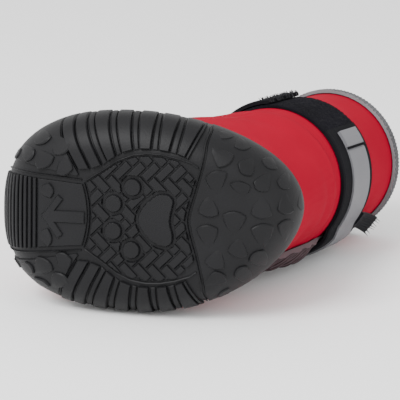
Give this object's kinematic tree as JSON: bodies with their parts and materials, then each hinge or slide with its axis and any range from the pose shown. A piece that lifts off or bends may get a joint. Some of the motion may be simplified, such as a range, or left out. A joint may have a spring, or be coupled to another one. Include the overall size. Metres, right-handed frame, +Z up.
{
  "type": "dog bootie",
  "caption": "Pet bootie lying on its side: black lugged rubber cup sole, red neoprene shaft, mesh gusset, strap with reflective tape and braided collar.",
  "frame": {"origin": "middle of the bounding box, on the floor that the boot lies on", "axes": "+Z up; the toe points along -X, the sole faces -Y and the collar +Y; the boot lies on its right side"},
  "size_m": [0.1066, 0.125, 0.0618],
  "materials": {
    "outsole": "matte moulded rubber, near black",
    "insole": "dark foam with a cloth face",
    "upper": "red smooth neoprene",
    "gusset": "pleated grey brown mesh",
    "collar_binding": "grey braided tape",
    "loop_band": "black fuzzy loop tape",
    "strap": "black webbing",
    "reflective_tape": "grey reflective tape",
    "hook_tab": "black hook tape"
  },
  "bodies": {
    "root": {"outsole": "outsole", "insole": "insole", "upper": "upper", "gusset": "gusset", "collar_binding": "collar_binding", "loop_band": "loop_band", "strap": "strap", "reflective_tape": "reflective_tape", "hook_tab": "hook_tab"}
  },
  "joints": []
}
